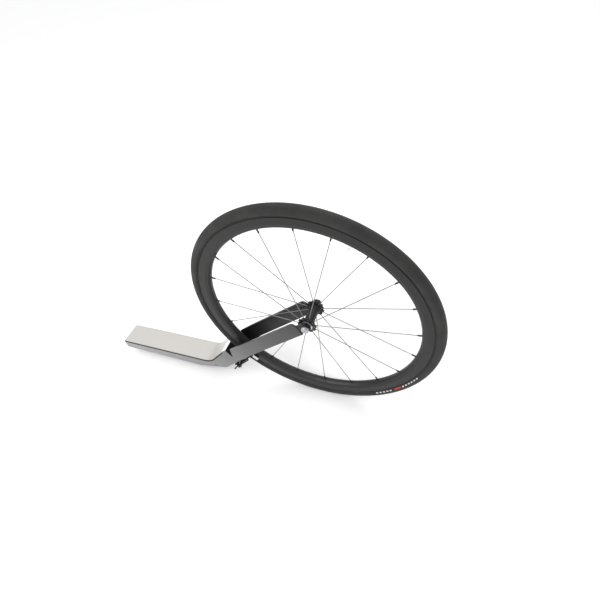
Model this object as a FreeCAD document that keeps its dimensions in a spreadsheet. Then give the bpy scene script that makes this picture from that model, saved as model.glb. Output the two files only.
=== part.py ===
"""Wheel end of a kick scooter: carbon deck beam, two blades, a quick-release 622 wheel and its rim brake.

Frame: +X runs from the beam's rear mounting face towards the wheel, +Y is the lever side of the axle,
+Z is up. The origin is the middle of the bolt pattern on the mounting face. Millimetres throughout.
"""
import FreeCAD
import Part
import math
import os
import re
import Sketcher

V = FreeCAD.Vector

# name, value (a number, or a formula in the other sizes), what it is
SIZES = [
    ("wheel_x", 730.0, "mounting face to axle, along the beam"),
    ("wheel_drop", 42.0, "tyre's radius below the mounting face's middle"),
    ("wheel_z", "tyre_r - wheel_drop", "axle above the middle of the mounting face"),
    ("frame_width", "2 * (gap_half + blade_thick)", "width over the blades"),
    ("blade_thick", 5.0, "blade"),
    ("beam_width", "frame_width - 12", "width of the beam under the deck plate"),
    ("flare_from", "heel_x + 18", "where the beam begins to widen towards the blades"),
    ("flare_to", "elbow_x - 8", "where it has its full width"),
    ("flare_rise", "(frame_width - beam_width) / 2", "how far each side moves out"),
    ("flare_radius", "((flare_to - flare_from) ^ 2 + flare_rise ^ 2) / (4 * flare_rise)", "its two equal arcs"),
    ("beam_top", 15.0, "beam's top face above the mount's middle"),
    ("beam_low_rear", 14.0, "beam's underside below the mount's middle, at the mounting face"),
    ("beam_low_front", 19.5, "beam's underside below the mount's middle, before the bend"),
    ("bend_x", "wheel_x - tyre_r - bend_behind", "where the top face turns up"),
    ("bend_behind", 33.5, "turn of the top face behind the tyre's rear"),
    ("bend_slope", 47.4, "slope of the top face after the bend"),
    ("bend_rise", 71.0, "height of the seam above the beam's top face"),
    ("bend_radius", 60.0, "radius of the turn in the top face"),
    ("belly_x", "bend_x - 50", "where the underside begins to rise"),
    ("heel_x", "bend_x + 56", "heel of the crown, along the beam"),
    ("heel_z", 5.6, "heel of the crown, height"),
    ("heel_radius", 45.0, "radius at the heel"),
    ("elbow_x", "wheel_x - 0.594 * tyre_r", "turn in the blade's lower edge, along the beam"),
    ("elbow_z", "wheel_z - 0.5386 * tyre_r", "turn in the blade's lower edge, height"),
    ("tip_top_back", 34.0, "blade tip's upper corner behind the axle"),
    ("tip_top_up", 10.0, "blade tip's upper corner above the axle"),
    ("tip_low_back", 12.0, "blade tip's lower corner behind the axle"),
    ("tip_low_down", 29.0, "blade tip's lower corner below the axle"),
    ("tip_radius", 13.0, "rounding of the blade tip's upper corner"),
    ("edge_round", 3.0, "rounding along the lower edges"),
    ("gasket_thick", 4.0, "gasket under the deck plate"),
    ("plate_thick", 1.4, "deck plate"),
    ("plate_inset", 1.6, "deck plate's edge inside the gasket's"),
    ("plate_short", 3.5, "deck plate's end short of the seam"),
    ("cover_thick", 0.8, "crown cover"),
    ("cavity_width", "beam_width - 10", "hollow in the beam, across"),
    ("cavity_height", 20.0, "hollow in the beam, height"),
    ("cavity_depth", "belly_x - 8", "hollow in the beam, from the mounting face"),
    ("bulkhead_depth", 30.0, "mounting block's length"),
    ("mount_across", 48.0, "mounting screws, spacing across"),
    ("mount_up", 10.0, "mounting screws, spacing in height"),
    ("mount_hole_r", 2.5, "mounting screw hole radius, M5"),
    ("mount_hole_deep", 22.0, "mounting screw hole depth"),
    ("plug_x", "bend_x + 16", "side plug along the beam"),
    ("plug_z", 7.0, "side plug height"),
    ("plug_r", 2.6, "side plug radius"),
    ("plug_depth", 6.0, "side plug depth"),
    ("crown_gap_r", "tyre_r + tyre_clear", "crown's hollow front, radius from the axle"),
    ("tyre_clear", 12.5, "tyre to the crown"),
    ("gap_half", "locknut_width / 2 + blade_inset", "half the gap between the blades"),
    ("blade_inset", 2.0, "blade's inner face outside the hub's end"),
    ("locknut_width", 74.0, "width over the hub's end caps"),
    ("dropout_thick", 6.0, "dropout plate"),
    ("tongue_thick", 3.8, "dropout tongue inside the blade"),
    ("tongue_long", 34.0, "dropout tongue's length into the blade"),
    ("dropout_half", 11.0, "half the width of the dropout's hook"),
    ("slot_angle", -52.0, "direction in which the dropout slot opens"),
    ("slot_long", 9.0, "dropout hook past the axle's middle"),
    ("axle_end_r", 4.5, "axle end radius in the slot"),
    ("slot_clear", 0.05, "radial clearance of the axle end in its slot"),
    ("tyre_r", "bead_seat_r + tyre_tall", "tyre's outer radius"),
    ("tyre_tall", 32.5, "tread above the bead seat"),
    ("tyre_half", 16.0, "half the tyre's width"),
    ("tyre_wall", 2.4, "tyre's thickness"),
    ("bead_seat_r", 311.0, "bead seat radius, size 622"),
    ("rim_out_r", "bead_seat_r + 5.5", "rim's outer edge radius"),
    ("rim_in_r", "rim_out_r - rim_deep", "rim's inner edge radius"),
    ("rim_deep", 31.0, "rim depth"),
    ("rim_half", 12.2, "half the rim's width"),
    ("rim_wall", 1.8, "rim's wall"),
    ("rim_hook", 2.0, "rim's hook thickness"),
    ("rim_floor_r", "bead_seat_r - 5", "rim well's floor radius"),
    ("tape_thick", 0.8, "rim tape"),
    ("tube_r", "tyre_half - tyre_wall - 3.2", "inner tube's section radius"),
    ("tube_wall", 1.2, "inner tube's wall"),
    ("spoke_count", 10.0, "spokes on each side"),
    ("spoke_r", 1.0, "spoke radius"),
    ("spoke_head_r", 1.9, "spoke head radius"),
    ("spoke_head_thick", 1.4, "spoke head thickness"),
    ("spoke_turn", 16.7, "turn of the first right spoke from upright"),
    ("nipple_r", 2.1, "nipple radius"),
    ("nipple_head_r", 3.0, "nipple head radius"),
    ("nipple_show", 11.0, "nipple's length inside the rim circle"),
    ("nipple_head", 3.2, "nipple head length"),
    ("nipple_y", 1.0, "nipples off the middle plane"),
    ("valve_turn", 25.7, "turn of the valve from upright"),
    ("valve_r", 3.0, "valve stem radius"),
    ("valve_long", 47.0, "valve stem length"),
    ("flange_y", "locknut_width / 2 - 7", "hub flange from the middle"),
    ("flange_thick", 3.2, "hub flange thickness"),
    ("flange_r", 25.5, "hub flange radius"),
    ("spoke_hole_r", "flange_r - 4.3", "spoke hole circle radius"),
    ("scallop_r", 5.0, "scallops round the flange"),
    ("hub_body_r", "hub_end_r - 2", "hub body radius"),
    ("hub_end_r", 15.6, "hub shell radius at its ends"),
    ("hub_end_y", "locknut_width / 2 - 3.6", "hub shell's end from the middle"),
    ("bearing_out_r", "hub_end_r - 2.6", "bearing outer radius"),
    ("bearing_in_r", 5.0, "bearing bore radius"),
    ("bearing_wide", 8.0, "bearing width"),
    ("bearing_y", "locknut_width / 2 - 6", "bearing's outer face from the middle"),
    ("race_in_r", 7.4, "inner race, outside radius"),
    ("race_out_r", 10.6, "outer race, inside radius"),
    ("ball_r", 2.3, "bearing ball radius"),
    ("ball_groove_r", 2.35, "race groove radius"),
    ("ball_count", 8.0, "balls in a bearing"),
    ("ring_in_r", "cap_r + 0.6", "dust ring inside radius"),
    ("axle_bore_r", "rod_r + 0.1", "axle bore radius"),
    ("cap_r", 9.4, "end cap radius"),
    ("cap_lip_r", 7.2, "end cap radius where it meets the race"),
    ("rod_r", 2.5, "skewer rod radius"),
    ("rod_clear", 0.05, "radial clearance of the rod in nut and housing"),
    ("nut_r", 10.0, "skewer nut radius"),
    ("nut_long", 9.0, "skewer nut length"),
    ("nut_recess_r", 6.2, "recess in the nut and the housing, radius"),
    ("nut_recess", 4.0, "recess in the nut and the housing, depth"),
    ("spring_wire", 0.8, "skewer spring wire"),
    ("spring_long", 2.4, "skewer spring length"),
    ("spring_r", 5.2, "skewer spring's wide end radius"),
    ("housing_r", 10.0, "lever housing radius"),
    ("housing_long", 13.0, "lever housing length"),
    ("barrel_r", 4.0, "lever's cam barrel radius"),
    ("barrel_clear", 0.05, "radial clearance of the cam barrel"),
    ("barrel_y", 6.6, "cam barrel from the housing's face on the dropout"),
    ("lever_turn", 141.7, "closed lever's turn about the axle, to lie along the blade"),
    ("lever_long", 58.0, "lever length"),
    ("lever_wide", 13.0, "lever width"),
    ("lever_thick", 4.0, "lever thickness"),
    ("brake_r", "tyre_r + brake_clear", "brake bolt from the axle"),
    ("brake_clear", 25.3, "brake bolt from the tread"),
    ("brake_angle", 226.3, "brake bolt's direction from the axle"),
    ("brake_bolt_r", 3.0, "brake bolt radius"),
    ("bolt_clear", 0.05, "radial clearance of arms on their bolts"),
    ("boss_r", 11.0, "brake boss radius"),
    ("boss_face", 24.0, "brake boss face behind the nut's face"),
    ("boss_long", 34.0, "brake boss length into the crown"),
    ("bolt_deep", 30.0, "brake bolt's length in the boss"),
    ("arm_thick", 6.5, "brake arm thickness"),
    ("arm_gap", 0.5, "gap between stacked brake pieces"),
    ("arm_wide", 11.0, "brake arm width"),
    ("arm_inside", "tyre_half + arm_clear", "arm's inside from the middle, beside the tyre"),
    ("arm_clear", 8.0, "arm to the tyre"),
    ("pivot_side", 19.0, "side pivot from the middle"),
    ("pad_reach", "brake_r - rim_out_r + 10.5", "brake bolt to the middle of the pads"),
    ("pad_gap", 1.6, "pad to rim when the brake is off"),
    ("pad_thick", 5.0, "pad thickness"),
    ("pad_tall", 9.0, "pad height"),
    ("pad_long", 44.0, "pad length"),
    ("shoe_thick", 2.6, "pad holder thickness"),
    ("pad_bolt_r", 2.5, "pad bolt radius"),
]

doc = FreeCAD.newDocument("WheelEnd")
sheet = doc.addObject("Spreadsheet::Sheet", "Sizes")
NAMES = {row[0] for row in SIZES}
NODES = []


def fill_sheet():
    for i, (name, value, note) in enumerate(SIZES, 1):
        sheet.set("A%d" % i, name)
        sheet.set("C%d" % i, note)
        sheet.setAlias("B%d" % i, name)
    for i, (name, value, note) in enumerate(SIZES, 1):
        sheet.set("B%d" % i, "=" + value if isinstance(value, str) else repr(value))
    doc.recompute()


def size(name):
    return float(getattr(sheet, name))


def formula(text):
    """A formula in plain size names, written for the document."""
    return re.sub(r"[a-z]\w*", lambda m: "Sizes." + m.group(0) if m.group(0) in NAMES else m.group(0), text)


def bind(obj, prop, text):
    obj.setExpression(prop, formula(str(text)))


fill_sheet()
probe = doc.addObject("App::FeaturePython", "Probe")
probe.addProperty("App::PropertyFloat", "Value")


def value_of(text):
    """The number that a formula gives now, used only to start a sketch near its solution."""
    bind(probe, "Value", text)
    probe.recompute()
    return probe.Value


# ---------------------------------------------------------------- bodies and sketches

def new_body(name):
    body = doc.addObject("PartDesign::Body", name)
    body.Label = name
    return body


def origin_item(body, role):
    return [item for item in body.Origin.OriginFeatures if item.Role == role][0]


def new_sketch(body, plane, offset=None, tilt=None):
    """A sketch on one of the body's planes; offset is three formulas, tilt turns it about its own X."""
    sketch = body.newObject("Sketcher::SketchObject", "Sketch")
    sketch.AttachmentSupport = (origin_item(body, plane), [""])
    sketch.MapMode = "FlatFace"
    sketch.AttachmentOffset = FreeCAD.Placement(V(), FreeCAD.Rotation(V(1, 0, 0), 1.0 if tilt else 0.0))
    if tilt:
        bind(sketch, "AttachmentOffset.Rotation.Angle", tilt)
    for axis, text in zip("xyz", offset or ()):
        bind(sketch, "AttachmentOffset.Base." + axis, text)
    return sketch


def pin(sketch, geometry, point, x_text, y_text):
    """Dimension a point from the sketch's origin."""
    for kind, text in (("DistanceX", x_text), ("DistanceY", y_text)):
        index = sketch.addConstraint(Sketcher.Constraint(kind, -1, 1, geometry, point, value_of(text)))
        bind(sketch, "Constraints[%d]" % index, text)


def draw_circle(sketch, x_text, y_text, r_text):
    middle = V(value_of(x_text), value_of(y_text), 0)
    geometry = sketch.addGeometry(Part.Circle(middle, V(0, 0, 1), value_of(r_text)), False)
    index = sketch.addConstraint(Sketcher.Constraint("Radius", geometry, value_of(r_text)))
    bind(sketch, "Constraints[%d]" % index, r_text)
    pin(sketch, geometry, 3, x_text, y_text)


def arc_between(a, b, radius):
    """Minor arc from a to b; a positive radius turns left."""
    chord = b - a
    half = chord.Length / 2
    rise = math.sqrt(max(radius * radius - half * half, 0.0))
    left = V(-chord.y, chord.x, 0) / chord.Length
    centre = (a + b) / 2 + left * math.copysign(rise, radius)
    first, last = (a, b) if radius > 0 else (b, a)
    start = math.atan2(first.y - centre.y, first.x - centre.x)
    end = math.atan2(last.y - centre.y, last.x - centre.x)
    if end < start:
        end += 2 * math.pi
    return Part.ArcOfCircle(Part.Circle(centre, V(0, 0, 1), abs(radius)), start, end)


def draw_outline(sketch, corners):
    """Closed outline; each corner is (x, y) or (x, y, radius of the arc to the next corner)."""
    spots = [V(value_of(c[0]), value_of(c[1]), 0) for c in corners]
    ends = []
    for i, corner in enumerate(corners):
        a, b = spots[i], spots[(i + 1) % len(spots)]
        if len(corner) == 2:
            geometry = sketch.addGeometry(Part.LineSegment(a, b), False)
            ends.append((geometry, 1, 2))
            continue
        radius = value_of(corner[2])
        geometry = sketch.addGeometry(arc_between(a, b, radius), False)
        ends.append((geometry, 1, 2) if radius > 0 else (geometry, 2, 1))
        index = sketch.addConstraint(Sketcher.Constraint("Radius", geometry, abs(radius)))
        bind(sketch, "Constraints[%d]" % index, "abs(%s)" % corner[2])
    for i, corner in enumerate(corners):
        before, here = ends[i - 1], ends[i]
        sketch.addConstraint(Sketcher.Constraint("Coincident", before[0], before[2], here[0], here[1]))
        pin(sketch, here[0], here[1], corner[0], corner[1])


def feature(body, kind, sketch, **settings):
    item = body.newObject("PartDesign::" + kind, kind)
    item.Profile = sketch
    for name, value in settings.items():
        setattr(item, name, value)
    return item


def turn_solid(body, kind, sketch):
    return feature(body, kind, sketch, ReferenceAxis=(sketch, ["V_Axis"]), Angle=360.0)


def pad(body, sketch, length, side="One side", kind="Pad", reverse=False):
    item = feature(body, kind, sketch, SideType=side, Reversed=reverse)
    bind(item, "Length", length)
    return item


def through(body, sketch):
    """A pocket right through, both ways."""
    return feature(body, "Pocket", sketch, Type="ThroughAll", SideType="Symmetric")


def around(body, originals, count):
    pattern = body.newObject("PartDesign::PolarPattern", "PolarPattern")
    pattern.Originals = originals
    pattern.Axis = (origin_item(body, "Y_Axis"), [""])
    pattern.Angle = 360.0
    bind(pattern, "Occurrences", count)
    body.Tip = pattern
    return pattern


def place(obj, x="0", y="0", z="0", turn=None):
    """Bind an object's placement; turn is about Y."""
    obj.Placement = FreeCAD.Placement(V(), FreeCAD.Rotation(V(0, 1, 0), 1.0 if turn else 0.0))
    for axis, text in zip("xyz", (x, y, z)):
        bind(obj, "Placement.Base." + axis, text)
    if turn:
        bind(obj, "Placement.Rotation.Angle", turn)


def at_wheel(obj, turn=None):
    place(obj, "wheel_x", "0", "wheel_z", turn)


def at_brake(obj):
    place(obj, "wheel_x + brake_r * cos(brake_angle)", "0", "wheel_z + brake_r * sin(brake_angle)",
          "270 - brake_angle")


def node(obj, name):
    obj.Label = name
    NODES.append(obj)
    return obj


def ring_body(name, corners, inner=None, turn=None):
    """A piece turned about the axle, from its half section in (radius, y)."""
    body = new_body(name)
    sketch = new_sketch(body, "XY_Plane")
    draw_outline(sketch, corners)
    if inner:
        draw_outline(sketch, inner)
    turn_solid(body, "Revolution", sketch)
    at_wheel(body, turn)
    return body


def box_corners(x0, x1, y0, y1):
    return [(x0, y0), (x1, y0), (x1, y1), (x0, y1)]


def tube_body(name, r_in, r_out, y0, y1):
    return ring_body(name, box_corners(r_in, r_out, y0, y1))


def edges_near(shape, test):
    """Names of the edges that pass a test on their middle and the direction from end to end."""
    found = []
    for i, edge in enumerate(shape.Edges, 1):
        a, b = edge.Vertexes[0].Point, edge.Vertexes[-1].Point
        middle = edge.valueAt((edge.FirstParameter + edge.LastParameter) / 2)
        if (b - a).Length > 1e-6 and test(middle, (b - a).normalize(), edge):
            found.append("Edge%d" % i)
    return found


def round_edges(body, kind, names, amount):
    base = body.Tip
    item = body.newObject("PartDesign::" + kind, kind)
    item.Base = (base, names)
    bind(item, "Radius" if kind == "Fillet" else "Size", amount)
    doc.recompute()
    return item


# ---------------------------------------------------------------- beam, crown and blades

SEAM_X = "(bend_x + bend_rise / tan(bend_slope))"
SEAM_Z = "(beam_top + bend_rise)"
STACK = "(gasket_thick + plate_thick)"
UP_X = "(-sin(bend_slope))"
UP_Z = "cos(bend_slope)"
CREST_X = "(%s + %s * %s)" % (SEAM_X, STACK, UP_X)
CREST_Z = "(%s + %s * %s)" % (SEAM_Z, STACK, UP_Z)


def frame_profile():
    return [
        ("0", "-beam_low_rear"),
        ("belly_x", "-beam_low_front"),
        ("heel_x", "heel_z"),
        ("elbow_x", "elbow_z"),
        ("wheel_x - tip_low_back", "wheel_z - tip_low_down"),
        ("wheel_x - tip_top_back", "wheel_z + tip_top_up"),
        (CREST_X, CREST_Z),
        (SEAM_X, SEAM_Z),
        ("bend_x", "beam_top"),
        ("0", "beam_top"),
    ]


def bevel_corners(share_a, share_b):
    """Two spots on the blade's slanted end, as shares of its length from the upper corner."""
    x = "wheel_x - tip_top_back + (tip_top_back - tip_low_back) * %s"
    z = "wheel_z + tip_top_up - (tip_top_up + tip_low_down) * %s"
    return [(x % share_a, z % share_a), (x % share_b, z % share_b)]


def frame_body():
    """The side outline, as wide as the frame, with the wheel's space turned out of it."""
    body = new_body("frame_core")
    sketch = new_sketch(body, "XZ_Plane")
    draw_outline(sketch, frame_profile())
    pad(body, sketch, "frame_width", "Symmetric")
    doc.recompute()

    def cross_edge(x, z):
        return lambda m, d, e: abs(d.y) > 0.99 and math.hypot(m.x - x, m.z - z) < 1.0

    for x_text, z_text, radius in (
            ("bend_x", "beam_top", "bend_radius"),
            ("heel_x", "heel_z", "heel_radius"),
            ("belly_x", "-beam_low_front", "bend_radius"),
            ("wheel_x - tip_top_back", "wheel_z + tip_top_up", "tip_radius")):
        test = cross_edge(value_of(x_text), value_of(z_text))
        round_edges(body, "Fillet", edges_near(body.Shape, test), radius)

    groove = new_sketch(body, "XY_Plane", ("wheel_x", "0", "wheel_z"))
    draw_outline(groove, box_corners("0", "crown_gap_r", "-gap_half", "gap_half"))
    turn_solid(body, "Groove", groove)

    flare = new_sketch(body, "XY_Plane")
    for side in (-1, 1):
        narrow, wide = "%d * beam_width / 2" % side, "%d * frame_width / 2" % side
        far = "%d * (frame_width / 2 + 5)" % side
        middle = ("(flare_from + flare_to) / 2", "%d * (beam_width + frame_width) / 4" % side)
        draw_outline(flare, [("-1", narrow), ("flare_from", narrow, "%d * flare_radius" % side),
                             middle + ("%d * flare_radius" % -side,), ("flare_to", wide),
                             ("flare_to", far), ("-1", far)])
    through(body, flare)

    hollow = new_sketch(body, "YZ_Plane")
    draw_outline(hollow, box_corners("-cavity_width / 2", "cavity_width / 2",
                                     "-cavity_height / 2", "cavity_height / 2"))
    pad(body, hollow, "cavity_depth", kind="Pocket", reverse=True)
    doc.recompute()

    low = [i for i in edges_near(body.Shape, lambda m, d, e: on_side(m) and abs(d.y) < 0.1
                                 and m.z < lower_edge(m.x) + 3.0
                                 and 5.0 < m.x < size("wheel_x") - size("tip_low_back") - 1.0)]
    round_edges(body, "Fillet", low, "edge_round")
    return body


def half_width(x):
    """Half the frame's width at x."""
    start, end, radius = size("flare_from"), size("flare_to"), size("flare_radius")

    def bow(run):
        return radius - math.sqrt(radius * radius - run * run)
    if x < (start + end) / 2:
        return size("beam_width") / 2 + bow(max(0.0, x - start))
    return size("frame_width") / 2 - bow(max(0.0, end - x))


def on_side(spot):
    """True for a spot on one of the frame's outer sides."""
    return abs(abs(spot.y) - half_width(spot.x)) < 0.05


def lower_edge(x):
    """Height of the outline's lower edge at x."""
    spots = [(value_of(a[0]), value_of(a[1])) for a in frame_profile()[:5]]
    for (xa, za), (xb, zb) in zip(spots, spots[1:]):
        if xa <= x <= xb:
            return za + (zb - za) * (x - xa) / (xb - xa)
    return spots[-1][1]


def tongue_outline():
    near = bevel_corners("0.38", "0.86")
    back = " - tongue_long * cos(38)"
    down = " - tongue_long * sin(38)"
    return [near[0], (near[0][0] + back, near[0][1] + down), (near[1][0] + back, near[1][1] + down), near[1]]


def plug_holes(body, depth):
    for y, reverse in (("-beam_width / 2", False), ("beam_width / 2", True)):
        sketch = new_sketch(body, "XZ_Plane", ("0", "0", "-(%s)" % y))
        draw_circle(sketch, "plug_x", "plug_z", "plug_r")
        pad(body, sketch, depth, kind="Pocket", reverse=reverse)


def tongue_space(side):
    """Room for one dropout's tongue inside a blade."""
    body = new_body("tongue_space")
    sketch = new_sketch(body, "XZ_Plane", ("0", "0", "%d * gap_half" % -side))
    draw_outline(sketch, tongue_outline())
    pad(body, sketch, "locknut_width / 2 - gap_half + tongue_thick", reverse=side > 0)
    return body


def brake_cylinder(name, radius, start, length):
    """A cylinder on the brake bolt's line; start counts from the nut's face, away from the crown."""
    item = doc.addObject("Part::Cylinder", name)
    bind(item, "Radius", radius)
    bind(item, "Height", length)
    place(item, "wheel_x + brake_r * cos(brake_angle) + (%s) * cos(270 - brake_angle)" % start, "0",
          "wheel_z + brake_r * sin(brake_angle) - (%s) * sin(270 - brake_angle)" % start,
          "360 - brake_angle")
    return item


def boolean(kind, name, base, tool):
    item = doc.addObject("Part::" + kind, name)
    item.Base = base
    item.Tool = tool
    return item


def make_frame():
    core = frame_body()
    plug_holes(core, "plug_depth")
    boss = brake_cylinder("brake_boss", "boss_r", "-boss_face - boss_long", "boss_long")
    solid = boolean("Fuse", "frame_with_boss", core, boss)
    hole = brake_cylinder("brake_hole", "brake_bolt_r", "-boss_face - bolt_deep", "bolt_deep + 1")
    solid = boolean("Cut", "frame_drilled", solid, hole)
    for side in (-1, 1):
        solid = boolean("Cut", "frame_cut", solid, tongue_space(side))
    node(solid, "carbon_frame")


def strip_corners(low, high, short):
    """Outline of a layer on the beam's top face, between two heights above it, ending short of the seam."""
    def start(t):
        return ("0", "beam_top + (%s)" % t)

    def corner(t):
        return ("bend_x - (%s) * tan(bend_slope / 2)" % t, "beam_top + (%s)" % t)

    def end(t):
        return ("%s + (%s) * %s - (%s) * cos(bend_slope)" % (SEAM_X, t, UP_X, short),
                "%s + (%s) * %s - (%s) * sin(bend_slope)" % (SEAM_Z, t, UP_Z, short))
    return [start(low), corner(low), end(low), end(high), corner(high), start(high)]


def make_layer(name, low, high, width, short="0"):
    body = new_body(name)
    sketch = new_sketch(body, "XZ_Plane")
    draw_outline(sketch, strip_corners(low, high, short))
    pad(body, sketch, width, "Symmetric")
    doc.recompute()
    corners = strip_corners(low, high, short)
    for corner, lift in ((corners[1], low), (corners[4], high)):
        x, z = value_of(corner[0]), value_of(corner[1])
        names = edges_near(body.Shape, lambda m, d, e: abs(d.y) > 0.99 and math.hypot(m.x - x, m.z - z) < 0.05)
        round_edges(body, "Fillet", names, "bend_radius - (%s)" % lift)
    node(body, name)


def make_crown_cover():
    """Thin bright cover on the crown, between the deck plate's end and the wheel's space."""
    body = new_body("crown_cover")
    slope = "atan((wheel_z + tip_top_up - %s) / (wheel_x - tip_top_back - %s))" % (CREST_Z, CREST_X)
    reach = "(sqrt((wheel_x - %s) ^ 2 + (wheel_z - %s) ^ 2) - crown_gap_r - cover_thick)" % (CREST_X, CREST_Z)

    def spot(along, up):
        return ("%s + (%s) * cos(%s) - (%s) * sin(%s)" % (CREST_X, along, slope, up, slope),
                "%s + (%s) * sin(%s) + (%s) * cos(%s)" % (CREST_Z, along, slope, up, slope))
    sketch = new_sketch(body, "XZ_Plane")
    draw_outline(sketch, [spot("0", "0"), spot(reach, "0"), spot(reach, "cover_thick"), spot("0", "cover_thick")])
    pad(body, sketch, "beam_width - 2 * plate_inset", "Symmetric")
    node(body, "crown_cover")


def make_bulkhead():
    body = new_body("mount_block")
    sketch = new_sketch(body, "YZ_Plane")
    draw_outline(sketch, box_corners("-cavity_width / 2", "cavity_width / 2",
                                     "-cavity_height / 2", "cavity_height / 2"))
    pad(body, sketch, "bulkhead_depth")
    holes = new_sketch(body, "YZ_Plane")
    for a in ("-mount_across / 2", "mount_across / 2"):
        for b in ("-mount_up / 2", "mount_up / 2"):
            draw_circle(holes, a, b, "mount_hole_r")
    pad(body, holes, "mount_hole_deep", kind="Pocket", reverse=True)
    node(body, "mount_block")


def make_plugs():
    body = new_body("side_plugs")
    for y, reverse in (("-beam_width / 2", True), ("beam_width / 2", False)):
        sketch = new_sketch(body, "XZ_Plane", ("0", "0", "-(%s)" % y))
        draw_circle(sketch, "plug_x", "plug_z", "plug_r")
        pad(body, sketch, "plug_depth", reverse=reverse)
    node(body, "side_plugs")


def slot_spot(along, across):
    """A spot beside the axle, measured along and across the dropout's slot."""
    return ("wheel_x + (%s) * cos(slot_angle) - (%s) * sin(slot_angle)" % (along, across),
            "wheel_z + (%s) * sin(slot_angle) + (%s) * cos(slot_angle)" % (along, across))


def make_dropout(name, side):
    """Hooked plate that carries one end of the axle; side is -1 on the nut's side."""
    body = new_body(name)
    inner = ("0", "0", "%d * locknut_width / 2" % -side)
    near = bevel_corners("0.3", "0.92")
    plate = new_sketch(body, "XZ_Plane", inner)
    draw_outline(plate, [near[0], near[1], slot_spot("slot_long", "-dropout_half"),
                         slot_spot("slot_long", "dropout_half"), slot_spot("-dropout_half", "dropout_half"),
                         ("wheel_x - dropout_half", "wheel_z + tip_top_up + 3.5")])
    pad(body, plate, "dropout_thick", reverse=side > 0)
    tongue = new_sketch(body, "XZ_Plane", inner)
    draw_outline(tongue, tongue_outline())
    pad(body, tongue, "tongue_thick", reverse=side > 0)
    eye = new_sketch(body, "XZ_Plane", inner)
    draw_circle(eye, "wheel_x", "wheel_z", "axle_end_r + slot_clear")
    through(body, eye)
    slot = new_sketch(body, "XZ_Plane", inner)
    wide = "axle_end_r + slot_clear"
    draw_outline(slot, [slot_spot("0", "-(%s)" % wide), slot_spot("3 * dropout_half", "-(%s)" % wide),
                        slot_spot("3 * dropout_half", wide), slot_spot("0", wide)])
    through(body, slot)
    node(body, name)


# ---------------------------------------------------------------- wheel

def make_tyre():
    """Open carcass: outside from bead to bead, then back along the inside."""
    half, wall = "tyre_half", "tyre_wall"
    mid = "(tyre_r - tyre_half)"
    bead_y = "(rim_half - rim_hook)"
    body = ring_body("tyre", [
        ("bead_seat_r", "-" + bead_y), ("rim_out_r", "-" + bead_y), ("rim_out_r + 1", "-" + bead_y),
        (mid, "-" + half, half), ("tyre_r", "0", half), (mid, half),
        ("rim_out_r + 1", bead_y), ("rim_out_r", bead_y), ("bead_seat_r", bead_y),
        ("bead_seat_r", bead_y + " - 3"), ("rim_out_r", bead_y + " - " + wall),
        (mid, "%s - %s" % (half, wall), "-(tyre_half - tyre_wall)"), ("tyre_r - " + wall, "0",
                                                                  "-(tyre_half - tyre_wall)"),
        (mid, "-%s + %s" % (half, wall)), ("rim_out_r", "-%s + %s" % (bead_y, wall)),
        ("bead_seat_r", "-%s + 3" % bead_y)])
    node(body, "tyre")


def make_tube():
    """Inner tube, a plain ring just inside the carcass."""
    body = new_body("inner_tube")
    sketch = new_sketch(body, "XY_Plane")
    draw_circle(sketch, "tyre_r - tyre_half", "0", "tube_r")
    draw_circle(sketch, "tyre_r - tyre_half", "0", "tube_r - tube_wall")
    turn_solid(body, "Revolution", sketch)
    at_wheel(body)
    node(body, "inner_tube")


SPOKE_Y = "(flange_y - flange_thick / 2 - spoke_r)"
TILT = "atan((%s - nipple_y) / (rim_in_r - spoke_hole_r))" % SPOKE_Y


def along_spoke(side, radius):
    """Sketch offset on the spoke's line, where it reaches a radius."""
    run = "((%s) - spoke_hole_r)" % radius
    return ("0", "%d * (%s - %s * tan(%s))" % (side, SPOKE_Y, run, TILT), "spoke_hole_r + " + run)


def spoke_tilt(side):
    return "%d * %s" % (side, TILT)


def spoke_circle(body, side, radius, *rings):
    sketch = new_sketch(body, "XY_Plane", along_spoke(side, radius), spoke_tilt(side))
    for ring in rings:
        draw_circle(sketch, "0", "0", ring)
    return sketch


def along_length(from_r, to_r):
    return "((%s) - (%s)) / cos(%s)" % (to_r, from_r, TILT)


def spoke_turn(side):
    return "spoke_turn" if side < 0 else "spoke_turn - 180 / spoke_count"


def make_rim():
    r, h = "rim_in_r", "rim_half"
    outside = [(r, "-4"), (r, "4"), (r + " + 4", h + " - 2.6"), (r + " + 13", h), ("rim_out_r", h),
               ("rim_out_r", h + " - rim_hook"), ("bead_seat_r", h + " - rim_hook"),
               ("rim_floor_r", h + " - rim_hook - 2.4"), ("rim_floor_r", "-(%s - rim_hook - 2.4)" % h),
               ("bead_seat_r", "-(%s - rim_hook)" % h), ("rim_out_r", "-(%s - rim_hook)" % h),
               ("rim_out_r", "-" + h), (r + " + 13", "-" + h), (r + " + 4", "-(%s - 2.6)" % h)]
    w = "rim_wall"
    room = [("%s + %s" % (r, w), "-3.4"), ("%s + %s" % (r, w), "3.4"),
            (r + " + 5", "%s - 2.6 - %s" % (h, w)), (r + " + 13", "%s - %s" % (h, w)),
            ("rim_floor_r - " + w, "%s - %s" % (h, w)), ("rim_floor_r - " + w, "-(%s - %s)" % (h, w)),
            (r + " + 13", "-(%s - %s)" % (h, w)), (r + " + 5", "-(%s - 2.6 - %s)" % (h, w))]
    hoop = ring_body("rim_hoop", outside, room)
    for side in (-1, 1):
        hoop = boolean("Cut", "rim_drilled", hoop, nipple_drills(side))
    return hoop


def nipple_drills(side):
    """The ten nipple holes of one side, as solids to cut away."""
    body = new_body("nipple_drills")
    sketch = spoke_circle(body, side, "rim_in_r - 2", "nipple_r")
    drill = pad(body, sketch, "rim_wall + 6")
    doc.recompute()
    around(body, [drill], "spoke_count")
    at_wheel(body, spoke_turn(side))
    return body


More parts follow.
